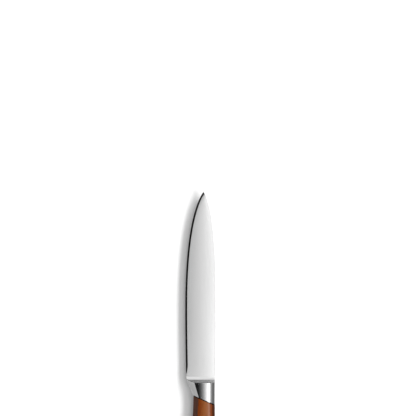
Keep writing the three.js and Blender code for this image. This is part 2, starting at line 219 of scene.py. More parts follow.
SHARP_ANGLE = math.radians(30)  # edges that turn by more than this stay crisp


def sandwich(top, bottom):
    """Points and quads of a closed solid between two grids.

    A grid's rows run from tip to butt, and its columns from finger side to spine side.
    """
    rows, columns = top.shape[:2]
    index = np.arange(rows * columns).reshape(rows, columns)
    under = index + rows * columns

    def quads(a, b, c, d):
        return np.stack([a, b, c, d], -1).reshape(-1, 4)

    faces = [
        quads(index[:-1, :-1], index[1:, :-1], index[1:, 1:], index[:-1, 1:]),
        quads(under[:-1, :-1], under[:-1, 1:], under[1:, 1:], under[1:, :-1]),
        quads(index[:-1, 0], under[:-1, 0], under[1:, 0], index[1:, 0]),
        quads(index[:-1, -1], index[1:, -1], under[1:, -1], under[:-1, -1]),
        quads(index[0, :-1], index[0, 1:], under[0, 1:], under[0, :-1]),
        quads(index[-1, :-1], under[-1, :-1], under[-1, 1:], index[-1, 1:]),
    ]
    points = np.concatenate([top.reshape(-1, 3), bottom.reshape(-1, 3)])
    return points, np.concatenate(faces)


def mirrored(grid):
    """The same grid on the other side of the blade's middle plane."""
    return grid * np.array([1, 1, -1])


def new_piece(name, points, faces, materials):
    """An object of its own from points in metres."""
    mesh = bpy.data.meshes.new(name)
    mesh.from_pydata(points.tolist(), [], faces)
    for material in materials:
        mesh.materials.append(material)
    mesh.shade_smooth()
    mesh.set_sharp_from_angle(angle=SHARP_ANGLE)
    piece = bpy.data.objects.new(name, mesh)
    bpy.context.scene.collection.objects.link(piece)
    return piece


def dress(piece, slot, *nodes):
    """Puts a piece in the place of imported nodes."""
    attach(piece, "root")
    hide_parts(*nodes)


# Handle outline


def stretch(start, start_lean, end, end_lean):
    """Control points of a curve between two places with given slopes."""
    run = (end[1] - start[1]) / 3
    return [
        start,
        (start[0] + start_lean * run, start[1] + run),
        (end[0] - end_lean * run, end[1] - run),
        end,
    ]


butt_y = -HANDLE_LENGTH
hook_y = butt_y + HOOK_BEFORE_BUTT
waist_y = (hook_y - GRIP_AT) / 2
butt_middle = -(HOOK_HEIGHT + BACK_BUTT_FALL) / 2


def butt_corner(start, lean, end_x):
    """Control points of the round corner into the butt's straight end."""
    return [start, (start[0] + lean * (butt_y - start[1]), butt_y), (end_x, butt_y)]


def handle_curves():
    """Outline of the finger side and of the back, each in four curves from the joint to the butt."""
    neck = (-NECK_HEIGHT, -JOINT_AT_FINGER)
    grip = (-GRIP_HEIGHT, -GRIP_AT)
    waist = (-WAIST_HEIGHT, waist_y)
    hook = (-HOOK_HEIGHT, hook_y)
    finger = [
        stretch(neck, 0, grip, 0),
        stretch(grip, 0, waist, 0),
        stretch(waist, 0, hook, HOOK_LEAN),
        butt_corner(hook, HOOK_LEAN, butt_middle - BUTT_FLAT / 2),
    ]
    back_front = (0.0, -JOINT_AT_SPINE)
    back_grip = (BACK_SWELL, -GRIP_AT)
    back_waist = (-BACK_WAIST_FALL, waist_y)
    back_butt = (-BACK_BUTT_FALL, hook_y)
    back = [
        stretch(back_front, 0, back_grip, 0),
        stretch(back_grip, 0, back_waist, BACK_WAIST_LEAN),
        stretch(back_waist, BACK_WAIST_LEAN, back_butt, BACK_BUTT_LEAN),
        butt_corner(back_butt, BACK_BUTT_LEAN, butt_middle + BUTT_FLAT / 2),
    ]
    return finger, back


HANDLE_STATIONS = (36, 28, 28, 20)  # steps along each curve of the outline


def handle_stations():
    """Matching points of the finger side and the back, and each one's share of the butt's corner."""
    finger_curves, back_curves = handle_curves()
    finger, back, corner = [], [], []
    for part, count in enumerate(HANDLE_STATIONS):
        first = 0 if part == 0 else 1
        shares = np.arange(first, count + 1) / count
        finger.append(bezier(finger_curves[part], shares))
        back.append(bezier(back_curves[part], shares))
        is_corner = part == len(HANDLE_STATIONS) - 1
        corner.append(shares if is_corner else np.zeros_like(shares))
    return np.concatenate(finger), np.concatenate(back), np.concatenate(corner)


# Handle section, shared by bolster and scales

ARRIS_ANGLES = np.linspace(0, math.pi / 2, 5)
ARRIS_COLUMNS = len(ARRIS_ANGLES)
FACET_SHARES = np.array([0.03, 0.3, 0.6, 0.8])  # columns close to the rounds keep the faces' shading plain
SLOPE_SHARES = np.array([0.5, 0.95, 1.0])
LINE_OFFSETS = FACET_BLEND * np.linspace(-3, 3, 7)
CROWN_COLUMNS = 10
ROLL_COLUMNS = 9
CORNER_COLUMNS = 5


def spine_roll():
    """Offsets and drops of the spine side's round: an arc, a straight slope and a small corner."""
    arc = np.linspace(0, ROLL_ANGLE, ROLL_COLUMNS + 1)[1:]
    corner = np.linspace(ROLL_ANGLE, math.pi / 2, CORNER_COLUMNS + 1)[1:]
    arc_x = ROLL_RADIUS * np.sin(arc)
    arc_drop = ROLL_RADIUS * (1 - np.cos(arc))
    slope_end = SPINE_ROUND - SPINE_CORNER * (1 - math.sin(ROLL_ANGLE))
    slope_x = lerp(arc_x[-1], slope_end, SLOPE_SHARES)
    slope_drop = arc_drop[-1] + (slope_x - arc_x[-1]) * math.tan(ROLL_ANGLE)
    corner_x = slope_end + SPINE_CORNER * (np.sin(corner) - math.sin(ROLL_ANGLE))
    corner_drop = slope_drop[-1] + SPINE_CORNER * (math.cos(ROLL_ANGLE) - np.cos(corner))
    offsets = np.concatenate([arc_x, slope_x, corner_x])
    drops = np.concatenate([arc_drop, slope_drop, corner_drop])
    return offsets, drops


ROLL_OFFSETS, ROLL_DROPS = spine_roll()
COLUMNS = ARRIS_COLUMNS + len(FACET_SHARES) + len(LINE_OFFSETS) + CROWN_COLUMNS + len(ROLL_OFFSETS)

# How far each column lies below the facet and the crown, on the rounded sides.
column_drop = np.zeros(COLUMNS)
column_drop[:ARRIS_COLUMNS] = ARRIS_ROUND * (1 - np.sin(ARRIS_ANGLES))
column_drop[-len(ROLL_DROPS):] = ROLL_DROPS


def section_columns(finger_x, spine_x, facet_x):
    """Column positions from the finger side to the spine side."""
    arris = finger_x + ARRIS_ROUND * (1 - np.cos(ARRIS_ANGLES))
    line = facet_x + LINE_OFFSETS
    facet = lerp(arris[-1], line[0], FACET_SHARES)
    roll_start = spine_x - SPINE_ROUND
    crown = np.linspace(line[-1], roll_start, CROWN_COLUMNS + 1)[1:]
    return np.concatenate([arris, facet, line, crown, roll_start + ROLL_OFFSETS])


def crown_height(x, spine_x, radius):
    """Height of the crowned flank above the middle plane."""
    return half_thickness - (x - spine_x + CROWN_APEX) ** 2 / (2 * radius)


def flank_height(x, spine_x, facet_height, radius):
    """Height of the whole section: facet, crown and the rounds on both sides."""
    crown = crown_height(x, spine_x, radius)
    return smooth_min(facet_height, crown, FACET_BLEND) - column_drop


# Blade


def tip_pull(side, reach, angle):
    """Control point of a curve that runs into the tip at an angle to the knife's length."""
    return tip[0] + side * reach * math.sin(angle), tip[1] - reach * math.cos(angle)


def edge_at(y):
    """The x of the cutting edge: a slight bow at the heel, straight, then the belly up to the tip."""
    control = [
        (edge_x, flat_grind_end),
        (edge_x, flat_grind_end + BELLY_PULL),
        tip_pull(-1, TIP_EDGE_PULL, TIP_EDGE_ANGLE),
        tip,
    ]
    heel_half = lerp(edge_x, heel_x, (1 - y / flat_grind_end) ** 2)
    return np.where(y < flat_grind_end, heel_half, curve_x(control, y))


def spine_at(y):
    """The x of the spine: a straight rise, then the fall to the tip."""
    control = [
        (SPINE_RISE, straight_spine_end),
        (SPINE_RISE, straight_spine_end + SPINE_FALL_PULL),
        tip_pull(1, TIP_SPINE_PULL, TIP_SPINE_ANGLE),
        tip,
    ]
    straight = lerp(0.0, SPINE_RISE, y / straight_spine_end)
    return np.where(y < straight_spine_end, straight, curve_x(control, y))


BEVEL_SHARES = np.linspace(0, 1, ARRIS_COLUMNS)
CHAMFER_SHARES = np.linspace(0, 1, 6)[1:]
HEEL_STATIONS = 24
FLAT_STATIONS = 24
BELLY_STATIONS = 90


def blade_stations():
    """The y of each row from the tip to the start of the fillet, closer together where the blade curves."""
    run_in_end = HEEL_PLAIN + BEVEL_WIDENS
    shares = np.linspace(0, 1, BELLY_STATIONS + 1)[1:]
    return np.concatenate([
        np.linspace(FILLET_AHEAD, run_in_end, HEEL_STATIONS + 1),
        np.linspace(run_in_end, flat_grind_end, FLAT_STATIONS + 1)[1:],
        lerp(flat_grind_end, BLADE_LENGTH, np.sin(shares * math.pi / 2)),
    ])[::-1]


def blade_grid(face_shares):
    """The upper half of the blade, from the tip to the start of the fillet."""
    y = blade_stations()
    middle = (edge_at(y) + spine_at(y)) / 2
    half = np.maximum(spine_at(y) - edge_at(y), TIP_WIDTH) / 2
    edge, spine = middle - half, middle + half
    slope = (edge_at(y) - edge_at(y - BEVEL_WIDTH)) / BEVEL_WIDTH
    sharpened = smooth(HEEL_PLAIN, HEEL_PLAIN + BEVEL_RUN_IN, y)
    widened = smooth(HEEL_PLAIN, HEEL_PLAIN + BEVEL_WIDENS, y)
    bevel = lerp(HEEL_BEVEL_WIDTH, BEVEL_WIDTH * np.hypot(1, slope), widened)
    shoulder = edge + np.minimum(bevel, 2 * half * TIP_BEVEL_SHARE)
    taper = np.clip((y - flat_grind_end) / BELLY_LENGTH, 0, 1)
    shoulder_half = lerp(SHOULDER_THICKNESS, TIP_SHOULDER_THICKNESS, taper) / 2
    spine_half = lerp(SPINE_THICKNESS, TIP_SPINE_THICKNESS, taper**SPINE_TAPER_POWER) / 2
    width = spine - shoulder
    fullness = lerp(HEEL_BULGE_SHARE, 1.0, smooth(0, HEEL_BULGE_LENGTH, y))
    bulge = FACE_BULGE * fullness * width / BLADE_HEIGHT
    roll = SPINE_ROLL * (1 - smooth(0, SPINE_ROLL_LENGTH, y))

    face_x = shoulder[:, None] + width[:, None] * face_shares
    face_z = lerp(shoulder_half[:, None], spine_half[:, None], face_shares)
    arch = 4 * face_shares * (1 - face_shares)  # a parabola, 1 in the middle
    face_z = face_z + bulge[:, None] * arch
    face_z = face_z - roll[:, None] * face_shares**SPINE_ROLL_POWER
    edge_half = lerp(shoulder_half - HEEL_BEVEL_FALL, EDGE_THICKNESS / 2, sharpened)
    bevel_x = lerp(edge[:, None], shoulder[:, None], BEVEL_SHARES[:-1])
    bevel_z = lerp(edge_half[:, None], shoulder_half[:, None], BEVEL_SHARES[:-1])
    corner = np.minimum(SPINE_CHAMFER, np.minimum(half, spine_half) / 2)[:, None]
    face_x = face_x - corner * face_shares
    chamfer_x = spine[:, None] - corner * (1 - CHAMFER_SHARES)
    chamfer_z = face_z[:, -1:] - corner * CHAMFER_SHARES
    x = np.concatenate([bevel_x, face_x, chamfer_x], 1)
    z = np.concatenate([bevel_z, face_z, chamfer_z], 1)
    return np.stack([x, np.repeat(y[:, None], COLUMNS, 1), z], -1)


# Bolster

FILLET_ROWS = 22
CREST_ROWS = 6
BOLSTER_ROWS = 10
CREST_PASSES = 12  # the crest's line settles in this many passes

joint_facet_x = JOINT_FACET_WIDTH - NECK_HEIGHT
front_y = FILLET_AHEAD - FILLET_RADIUS - CREST_ROUND


def joint_y(x):
    """The slanting joint between bolster and wood."""
    return lerp(-JOINT_AT_FINGER, -JOINT_AT_SPINE, (x + NECK_HEIGHT) / NECK_HEIGHT)


def bolster_radius(y):
    """The crown's radius, from the crest to the joint."""
    share = np.clip((y - front_y) / (-JOINT_AT_SPINE - front_y), 0, 1)
    return lerp(FRONT_CROWN_RADIUS, CROWN_RADIUS, share)


def bolster_facet(x, y):
    """The finger facet of the bolster: a slightly twisted flat from the heel to the joint."""
    share = -y / JOINT_AT_FINGER
    line_share = (y - front_y) / (joint_y(joint_facet_x) - front_y)
    finger = lerp(heel_x, -NECK_HEIGHT, share)
    line = lerp(FRONT_FACET_X, joint_facet_x, line_share)
    joint_wall = crown_height(joint_facet_x, 0.0, CROWN_RADIUS) - FACET_SLOPE * JOINT_FACET_WIDTH
    wall = lerp(HEEL_HALF, joint_wall, share)
    top = crown_height(line, 0.0, bolster_radius(y))
    return wall + (top - wall) * (x - finger) / (line - finger)


def bolster_height(x, y):
    """Height of the bolster's flank with its facet and rounds."""
    return flank_height(x, 0.0, bolster_facet(x, y), bolster_radius(y))


def bolster_grid(base):
    """Fillet, crest and faces of the bolster, from the blade's last row to the joint."""
    base_x, base_z = base[:, 0], base[:, 2]
    front_x = section_columns(heel_x, 0.0, FRONT_FACET_X)
    sweep = FILLET_RADIUS + CREST_ROUND
    crest_y = np.zeros(COLUMNS)
    for _ in range(CREST_PASSES):
        rise = bolster_height(front_x, crest_y) - base_z
        steepest = np.arccos(np.clip(1 - rise / sweep, 0, 1))
        crest_y = FILLET_AHEAD - sweep * np.sin(steepest)
    crest_z = bolster_height(front_x, crest_y)

    rows = []
    for share in np.linspace(0, 1, FILLET_ROWS + 1)[1:]:
        angle = steepest * share
        y = FILLET_AHEAD - FILLET_RADIUS * np.sin(angle)
        z = base_z + FILLET_RADIUS * (1 - np.cos(angle))
        rows.append((y, z))
    for share in np.linspace(1, 0, CREST_ROWS + 1)[1:]:
        angle = steepest * share
        y = crest_y + CREST_ROUND * np.sin(angle)
        z = crest_z - CREST_ROUND * (1 - np.cos(angle))
        rows.append((y, z))
    grid = []
    for y, z in rows:
        across = (FILLET_AHEAD - y) / (FILLET_AHEAD - crest_y)
        grid.append(np.stack([lerp(base_x, front_x, across), y, z], -1))

    joint_x = section_columns(-NECK_HEIGHT, 0.0, joint_facet_x)
    for share in np.linspace(0, 1, BOLSTER_ROWS + 1)[1:]:
        x = lerp(front_x, joint_x, share)
        y = lerp(crest_y, joint_y(joint_x), share)
        grid.append(np.stack([x, y, bolster_height(x, y)], -1))
    return np.array(grid)


def tang_grid():
    """The flat tang, a little inside the handle's outline."""
    finger, back, _ = handle_stations()
    columns = section_columns(-NECK_HEIGHT, 0.0, joint_facet_x)
    share = (columns + NECK_HEIGHT) / NECK_HEIGHT
    x = lerp(finger[:, :1] + TANG_INSET, back[:, :1] - TANG_INSET, share)
    y = lerp(finger[:, 1:], back[:, 1:], share)
    return np.stack([x, y, np.full_like(x, half_tang)], -1)


def build_forging(materials):
    """Blade, bolster and tang in one piece of steel."""
    front_x = section_columns(heel_x, 0.0, FRONT_FACET_X)
    face = front_x[ARRIS_COLUMNS - 1 : COLUMNS - len(CHAMFER_SHARES)]
    blade = blade_grid((face - face[0]) / (face[-1] - face[0]))
    bolster = bolster_grid(blade[-1])
    top = np.concatenate([blade, bolster, tang_grid()])
    points, faces = sandwich(top, mirrored(top))
    piece = new_piece("forged_steel", to_row(points), faces.tolist(), materials)
    mark_forging(piece.data, len(blade), len(bolster), len(top))
    dress(piece, "blade_steel", "forged_blade")
    return piece


# Order of the forging's materials
GROUND_LOOK, EDGE_LOOK, BOLSTER_LOOK, SEAM_LOOK = range(4)


def grid_places(items, corner_count, rows):
    """Grid row and column of every corner of the mesh's edges or faces."""
    corners = np.zeros(len(items) * corner_count, int)
    items.foreach_get("vertices", corners)
    corners = corners.reshape(-1, corner_count) % (rows * COLUMNS)
    return corners // COLUMNS, corners % COLUMNS


def mark_forging(mesh, blade_rows, bolster_rows, rows):
    """Keeps the shoulder above the sharpened strip crisp, and gives each part of the forging its look."""
    shoulder = ARRIS_COLUMNS - 1
    row, column = grid_places(mesh.edges, 2, rows)
    along_shoulder = (column == shoulder).all(1) & (row < blade_rows).all(1)
    sharp = np.zeros(len(mesh.edges), bool)
    attribute = mesh.attributes.get("sharp_edge") or mesh.attributes.new("sharp_edge", "BOOLEAN", "EDGE")
    attribute.data.foreach_get("value", sharp)
    attribute.data.foreach_set("value", sharp | along_shoulder)

    row, column = grid_places(mesh.polygons, 4, rows)
    on_blade = (row < blade_rows).all(1)
    on_strip = on_blade & (column <= shoulder).all(1)
    first_tang_row = blade_rows + bolster_rows
    in_seam = (row >= first_tang_row).all(1) & (row <= first_tang_row + 1).all(1)
    on_side = (column == 0).all(1) | (column == COLUMNS - 1).all(1)
    look = np.full(len(mesh.polygons), BOLSTER_LOOK)
    look[on_blade] = GROUND_LOOK
    look[on_strip] = EDGE_LOOK
    # the tang in the seam gets the near-black glue, which also paints the seam's shade
    look[in_seam & ~on_side] = SEAM_LOOK
    mesh.polygons.foreach_set("material_index", look)
    mesh.update()


# Scales


def scale_grid():
    """Outer surface of one scale, from the rounded front end to the rounded butt."""
    finger, back, corner = handle_stations()
    behind = -finger[:, 1] - JOINT_AT_FINGER
    facet_width = lerp(JOINT_FACET_WIDTH, GRIP_FACET_WIDTH, smooth(0, FACET_SETTLES, behind))
    rows = []
    for index, (start, end) in enumerate(zip(finger, back)):
        rows.append(scale_row(start, end, facet_width[index], corner[index]))
    return np.array(rows)


def scale_row(finger, back, facet_width, corner):
    """One cross-section of the wood. corner is its share round the butt's corners."""
    facet_x = finger[0] + facet_width
    needed = facet_width + SPINE_ROUND + LINE_OFFSETS[-1] * 2
    if back[0] - finger[0] > needed:
        x = section_columns(finger[0], back[0], facet_x)
    else:
        wide = section_columns(-NECK_HEIGHT, 0.0, joint_facet_x)
        x = back[0] + wide / NECK_HEIGHT * (back[0] - finger[0])
    reach = back[0] - CROWN_APEX - facet_x
    joint_reach = -CROWN_APEX - joint_facet_x
    radius = CROWN_RADIUS * max(1.0, (reach / joint_reach) ** 2)
    facet_top = crown_height(facet_x, back[0], radius)
    facet = facet_top - FACET_SLOPE * (facet_x - x)
    thinning = BUTT_THINNING * (1 - math.sqrt(1 - corner**2))
    z = lerp(flank_height(x, back[0], facet, radius), scale_inside, thinning)
    y = lerp(finger[1], back[1], (x - finger[0]) / (back[0] - finger[0]))
    into_round = np.clip((butt_y + WOOD_BUTT_ROUND - y) / WOOD_BUTT_ROUND, 0, 1)
    z = z - WOOD_BUTT_ROUND * (1 - np.sqrt(1 - into_round**2))
    return np.stack([x, y, np.maximum(z, scale_inside + BUTT_WOOD)], -1)


def shrunk(row, inset):
    """A row of the scale with its outline and its surface drawn in."""
    middle = (row[0, 0] + row[-1, 0]) / 2
    half = (row[-1, 0] - row[0, 0]) / 2
    x = middle + (row[:, 0] - middle) * (half - inset) / half
    z = np.maximum(row[:, 2] - inset, scale_inside + FRONT_WOOD)
    return np.stack([x, row[:, 1], z], -1)


END_ANGLES = np.linspace(0, math.pi / 2, 6)[:-1]


def rounded_front(grid):
    """Adds the rounded front end, behind the seam to the bolster."""
    front = []
    for angle in END_ANGLES:
        row = shrunk(grid[0], WOOD_FRONT_ROUND * (1 - math.sin(angle)))
        row[:, 1] -= JOINT_GAP + WOOD_FRONT_ROUND * (1 - math.cos(angle))
        front.append(row)
    start = grid[0].copy()
    start[:, 1] -= JOINT_GAP + WOOD_FRONT_ROUND
    return np.concatenate([np.array(front), start[None], grid[1:]])


def build_scale(name, node, side, materials, holes):
    """One wooden half of the handle. side is 1 for the upper flank and -1 for the lower one."""
    outside = rounded_front(scale_grid())
    inside = outside.copy()
    inside[:, :, 2] = scale_inside
    if side > 0:
        points, faces = sandwich(outside, inside)
    else:
        points, faces = sandwich(mirrored(inside), mirrored(outside))
    piece = new_piece(name, to_row(points), faces.tolist(), materials)
    # the rounded front end takes the second material, darkened as end grain and as painted shade in the
    # seam
    row = (faces % len(outside.reshape(-1, 3))) // COLUMNS
    at_front_end = (row <= len(END_ANGLES)).all(1)
    piece.data.polygons.foreach_set("material_index", at_front_end.astype(int))
    drill(piece, holes)
    dress(piece, "handle_wood", node)
    return piece


# Rivets

RIM_ANGLES = np.linspace(0, math.pi / 2, 5)
HEAD_SHARES = np.linspace(0.9, 0, 8)  # rings of the crowned head, as shares of its radius


def turned(name, profile, center, material):
    """A solid turned about z. The profile is (radius, height) from axis to axis, in millimetres."""
    angles = np.arange(RIVET_SIDES) * 2 * math.pi / RIVET_SIDES
    points, faces, rings = [], [], []
    for radius, height in profile:
        if radius == 0:
            rings.append([len(points)] * RIVET_SIDES)
            points.append((0.0, 0.0, height))
        else:
            rings.append(list(range(len(points), len(points) + RIVET_SIDES)))
            points.extend((radius * math.cos(a), radius * math.sin(a), height) for a in angles)
    for low, high in zip(rings, rings[1:]):
        for k in range(RIVET_SIDES):
            after = (k + 1) % RIVET_SIDES
            quad = [low[k], low[after], high[after], high[k]]
            faces.append(list(dict.fromkeys(quad)))
    piece = new_piece(name, np.array(points) * MM, faces, [material])
    piece.location = center
    return piece


def head_profile(radius, outer, sign):
    """The crowned head from its rim to the axis, on the upper (1) or lower (-1) end."""
    rim = outer - RIVET_HEAD_CROWN
    corner = [
        (radius - RIVET_EDGE_ROUND * (1 - math.cos(a)), rim - RIVET_EDGE_ROUND * (1 - math.sin(a)))
        for a in RIM_ANGLES
    ]
    crown = [(radius * share, outer - RIVET_HEAD_CROWN * share**2) for share in HEAD_SHARES]
    return [(r, sign * z) for r, z in corner + crown]


def rivet_profiles(radius, outer):
    """Profiles of sleeve and stud, with heads of the given radius at the given height."""
    inner = outer - RIVET_HEAD_THICKNESS
    stud_end = inner - RIVET_END_GAP
    bore = SLEEVE_BORE / 2
    outside = SLEEVE_DIAMETER / 2
    shank = STUD_DIAMETER / 2
    sleeve = [(0, inner), (bore, inner), (bore, -stud_end), (outside, -stud_end), (outside, inner)]
    sleeve += [(radius, inner)] + head_profile(radius, outer, 1)
    stud = head_profile(radius, outer, -1)[::-1]
    stud += [(radius, -inner), (shank, -inner), (shank, stud_end), (0, stud_end)]
    return {"sleeve": sleeve, "stud": stud}


def build_rivets(material):
    """Both halves of each rivet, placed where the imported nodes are, and the holes they need."""
    pieces, holes = [], []
    for sleeve_node in sorted(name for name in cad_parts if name.endswith("_rivet_sleeve")):
        place = sleeve_node.removesuffix("_rivet_sleeve")
        low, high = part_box(sleeve_node)
        center = ((low.x + high.x) / 2, (low.y + high.y) / 2, origin[2])
        radius = (high.x - low.x) / 2 / MM
        outer = (high.z - origin[2]) / MM
        for half, profile in rivet_profiles(radius, outer).items():
            piece = turned(f"{place}_{half}_steel", profile, center, material)
            dress(piece, "rivet_steel", f"{place}_rivet_{half}")
            pieces.append(piece)
        seat = outer - RIVET_HEAD_THICKNESS - RIVET_HOLE_CLEARANCE
        holes.append((center, radius + RIVET_HOLE_CLEARANCE, seat))
    return pieces, holes


def drill(piece, holes):
    """Cuts the stepped rivet holes into a scale."""
    for center, head_radius, seat in holes:
        hole = SLEEVE_DIAMETER / 2 + RIVET_HOLE_CLEARANCE
        deep = HANDLE_THICKNESS
        profile = [(0, -deep), (head_radius, -deep), (head_radius, -seat), (hole, -seat)]
        profile += [(hole, seat), (head_radius, seat), (head_radius, deep), (0, deep)]
        tool = turned("drill", profile, center, piece.data.materials[0])
        cut = piece.modifiers.new("hole", "BOOLEAN")
        cut.operation = "DIFFERENCE"
        cut.object = tool
        bpy.context.view_layer.update()
        evaluated = piece.evaluated_get(bpy.context.evaluated_depsgraph_get())
        drilled = bpy.data.meshes.new_from_object(evaluated)
        piece.modifiers.clear()
        piece.data = drilled
        bpy.data.objects.remove(tool)
    piece.data.shade_smooth()
    piece.data.set_sharp_from_angle(angle=SHARP_ANGLE)


# Materials


class Nodes:
    """Short calls to build a node tree."""

    def __init__(self, tree):
        self.tree = tree
        tree.nodes.clear()

    def add(self, kind, inputs=(), **settings):
        """A new node. Inputs are links from other nodes or plain values."""
        node = self.tree.nodes.new(kind)
        for key, value in settings.items():
            setattr(node, key, value)
        for key, value in dict(inputs).items():
            if isinstance(value, bpy.types.NodeSocket):
                self.tree.links.new(value, node.inputs[key])
            else:
                node.inputs[key].default_value = value
        return node

    def ramp(self, factor, stops):
        """The colour at the factor's place between stops of position and colour."""
        node = self.add("ShaderNodeValToRGB", {"Fac": factor})
        elements = node.color_ramp.elements
        while len(elements) < len(stops):
            elements.new(1.0)
        for element, (position, color) in zip(elements, stops):
            element.position = position
            element.color = (*color, 1.0)
        return node.outputs["Color"]

    def math(self, operation, *values):
        return self.add("ShaderNodeMath", dict(enumerate(values)), operation=operation).outputs[0]

    def stretched(self, scale):
        """Places on the piece, scaled along x, y and z."""
        place = self.add("ShaderNodeTexCoord").outputs["Object"]
        return self.add("ShaderNodeMapping", {"Vector": place, "Scale": scale}).outputs[0]

    def noise(self, scale, detail, roughness=0.5):
        """Noise with the given number of spots per metre along x, y and z."""
        inputs = {"Vector": self.stretched(scale), "Scale": 1.0, "Detail": detail, "Roughness": roughness}
        return self.add("ShaderNodeTexNoise", inputs).outputs["Fac"]

    def mix(self, factor, below, above, blend="MIX"):
        """Mixes two colours. The node's colour sockets are its inputs 6 and 7 and its output 2."""
        inputs = {0: factor, 6: below, 7: above}
        return self.add("ShaderNodeMix", inputs, data_type="RGBA", blend_type=blend).outputs[2]

    def bump(self, height, strength, depth):
        """Normals of a fine relief. depth is in millimetres."""
        inputs = {"Height": height, "Strength": strength, "Distance": depth * MM}
        return self.add("ShaderNodeBump", inputs).outputs[0]

    def surface(self, inputs):
        """The finished surface."""
        shader = self.add("ShaderNodeBsdfPrincipled", inputs)
        self.add("ShaderNodeOutputMaterial", {"Surface": shader.outputs[0]})


def new_material(name):
    """A material with an empty node tree."""
    material = bpy.data.materials.new(name)
    material.use_nodes = True
    return material, Nodes(material.node_tree)


STEEL_TONE = (0.803, 0.803, 0.803)
EDGE_TONE = (0.765, 0.765, 0.765)
STEEL_BUMP = 0.02  # depth of the grinding lines
LINE_SHADE = 0.96  # tone of their low places
LOW_LINES = 0.3  # noise of the low places and of the plain ones
HIGH_LINES = 0.7
LINE_SPREAD = 0.05  # how much roughness varies with the lines and with large spots
SPOT_SPREAD = 0.03
SPOTS = (60, 60, 60)
SATIN_TONE = (0.63, 0.63, 0.63, 1.0)  # the bolster's front is duller than its flanks
SATIN_SPREAD = 0.12
SATIN_STARTS = 0.6  # how far a face turns to the tip before it is dull
SATIN_FULL = 0.85


def steel(name, color, roughness, grain, grain_depth, satin_front=False):
    """Ground steel. grain is the number of grinding lines per metre along x, y and z."""
    material, nodes = new_material(name)
    lines = nodes.noise(grain, detail=3.0, roughness=0.6)
    spots = nodes.noise(SPOTS, detail=2.0)
    least = roughness - (LINE_SPREAD + SPOT_SPREAD) / 2
    spread = nodes.math("MULTIPLY_ADD", lines, LINE_SPREAD, least)
    spread = nodes.math("MULTIPLY_ADD", spots, SPOT_SPREAD, spread)
    shaded = [c * LINE_SHADE for c in color]
    tone = nodes.ramp(lines, [(LOW_LINES, shaded), (HIGH_LINES, color)])
    if satin_front:
        normal = nodes.add("ShaderNodeNewGeometry").outputs["Normal"]
        facing = nodes.add("ShaderNodeSeparateXYZ", {"Vector": normal}).outputs["Y"]
        turn = {"Value": facing, "From Min": SATIN_STARTS, "From Max": SATIN_FULL}
        satin = nodes.add("ShaderNodeMapRange", turn).outputs[0]
        spread = nodes.math("MULTIPLY_ADD", satin, SATIN_SPREAD, spread)
        tone = nodes.mix(satin, tone, SATIN_TONE)
    nodes.surface({
        "Base Color": tone,
        "Metallic": 1.0,
        "Roughness": spread,
        "Normal": nodes.bump(lines, strength=grain_depth, depth=STEEL_BUMP),
    })
    return material


# Tones of the wood, from painted shade on its sides to painted light on its top; the grain's figure also
# moves along them
GRAIN_AND_SHADE_TONES = (
    (0.05, (0.058, 0.013, 0.002)),
    (0.36, (0.168, 0.032, 0.002)),
    (0.72, (0.178, 0.036, 0.003)),
    (1.0, (0.235, 0.064, 0.006)),
)
# painted shade: below this distance from the middle plane the wood's sides are painted dark, and above the
# next one its top is painted lit
SHADED_HEIGHT = 5.0  # distance from the middle plane up to which the wood is dark
LIT_HEIGHT = 5.95
STREAKS = (1100, 28, 1100)  # the grain's streaks, bands and pores per metre along x, y and z
BANDS = (260, 9, 260)
PORES = (4200, 160, 4200)
STREAK_SHARE = 0.7  # streaks and bands make up the figure
BAND_SHARE = 0.5
FIGURE_MEAN = 0.6
FIGURE_CONTRAST = 0.9
PORE_TONES = ((0.30, (0.45, 0.40, 0.38)), (0.42, (1.0, 1.0, 1.0)))
PORE_SHARE = 0.8  # how far the pores show
PORE_BUMP = 0.6  # height of the pores against the streaks
WOOD_BUMP = 0.05  # depth of the grain
WOOD_ROUGHNESS = 0.18
STREAK_ROUGHNESS = 0.10  # and how much more in the streaks
POLISHED = 1.45  # refraction of the oiled faces
DULL = 1.2  # and of unpolished end grain and glue


def oiled_wood(name, tint, gloss):
    """Reddish-brown wood with lengthwise streaks and pores, painted darker on its sides and lighter on its
    top as shade and light.
    """
    material, nodes = new_material(name)
    place = nodes.add("ShaderNodeTexCoord").outputs["Object"]
    height = nodes.add("ShaderNodeSeparateXYZ", {"Vector": place}).outputs["Z"]
    # painted shade and light: the tone follows the distance from the middle plane, dark low on the sides
    # and light on top
    depth = nodes.math("ABSOLUTE", nodes.math("SUBTRACT", height, float(origin[2])))
    shade_fade = (LIT_HEIGHT - SHADED_HEIGHT) * MM
    painted_lit_share = nodes.math("MULTIPLY_ADD", depth, 1 / shade_fade, -SHADED_HEIGHT * MM / shade_fade)
    streaks = nodes.noise(STREAKS, detail=6.0, roughness=0.65)
    bands = nodes.noise(BANDS, detail=3.0)
    pores = nodes.noise(PORES, detail=2.0)
    figure = nodes.math("MULTIPLY_ADD", bands, BAND_SHARE, nodes.math("MULTIPLY", streaks, STREAK_SHARE))
    figure = nodes.math("MULTIPLY_ADD", figure, FIGURE_CONTRAST, -FIGURE_CONTRAST * FIGURE_MEAN)
    level = nodes.math("ADD", painted_lit_share, figure)
    tone = nodes.ramp(level, GRAIN_AND_SHADE_TONES)
    tone = nodes.mix(PORE_SHARE, tone, nodes.ramp(pores, PORE_TONES), "MULTIPLY")
    tone = nodes.mix(1.0, tone, (tint, tint, tint, 1.0), "MULTIPLY")
    grain = nodes.math("MULTIPLY_ADD", pores, PORE_BUMP, streaks)
    nodes.surface({
        "Base Color": tone,
        "Roughness": nodes.math("MULTIPLY_ADD", streaks, STREAK_ROUGHNESS, WOOD_ROUGHNESS),
        "IOR": gloss,
        "Normal": nodes.bump(grain, strength=0.2, depth=WOOD_BUMP),
    })
    return material


RESIN_GRIT = (900, 900, 900)
